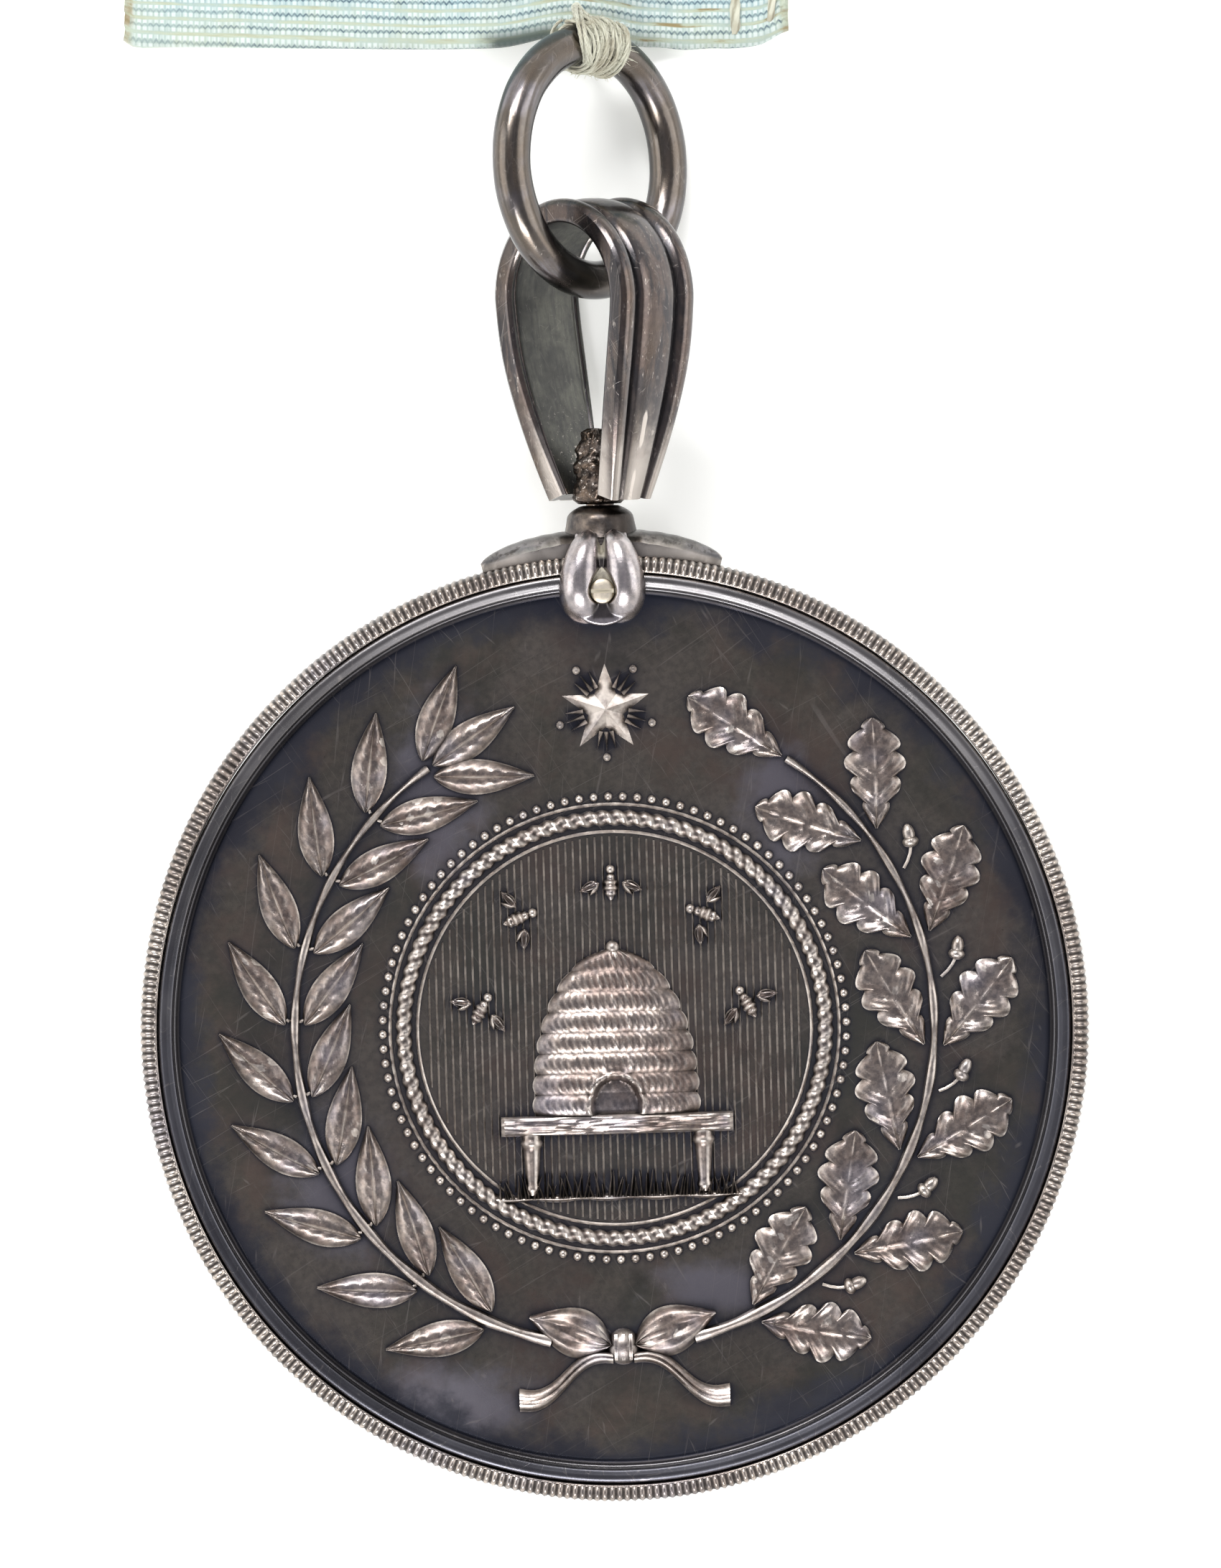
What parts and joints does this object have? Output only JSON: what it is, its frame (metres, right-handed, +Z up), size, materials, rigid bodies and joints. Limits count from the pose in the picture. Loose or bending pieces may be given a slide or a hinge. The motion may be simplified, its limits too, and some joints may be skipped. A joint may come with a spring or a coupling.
{
  "type": "award medal",
  "caption": "Struck silver award medal in a reeded edge band, with claw, swivelling strap bail, wire ring, folded ribbon and brooch bar.",
  "frame": {"origin": "on the table under the middle of the part's box; the medal lies on its back, its swivel axis over X = 0", "axes": "+Y up the medal towards ring, ribbon and brooch bar; +Z up, out of the struck face; +X to the right as the face is seen"},
  "size_m": [0.054, 0.1258, 0.0122],
  "materials": {
    "toned_silver": "struck silver toned dark grey with violet and brown, bright on the raised work",
    "band_silver": "bright reeded silver, dark in the grooves",
    "claw_silver": "polished silver with light violet toning",
    "bail_silver": "smooth silver toned gunmetal, worn bright on its ribs",
    "cream_thread": "twisted cream linen thread",
    "blue_ribbon": "pale blue grosgrain silk, spotted yellow-brown with age",
    "bar_metal": "plain satin white metal"
  },
  "bodies": {
    "suspension": {"bail": "bail_silver", "ring": "bail_silver", "thread_tie": "cream_thread", "ribbon": "blue_ribbon", "brooch_bar": "bar_metal"},
    "medal": {"disc": "toned_silver", "edge_band": "band_silver", "claw": "claw_silver", "claw_screw": "claw_silver"}
  },
  "joints": [
    {"name": "swivel", "type": "hinge", "parent": "suspension", "child": "medal", "pos_m": [0, -0.0069, 0.00511], "axis": [0, 0.999, 0.0453], "continuous": true}
  ]
}
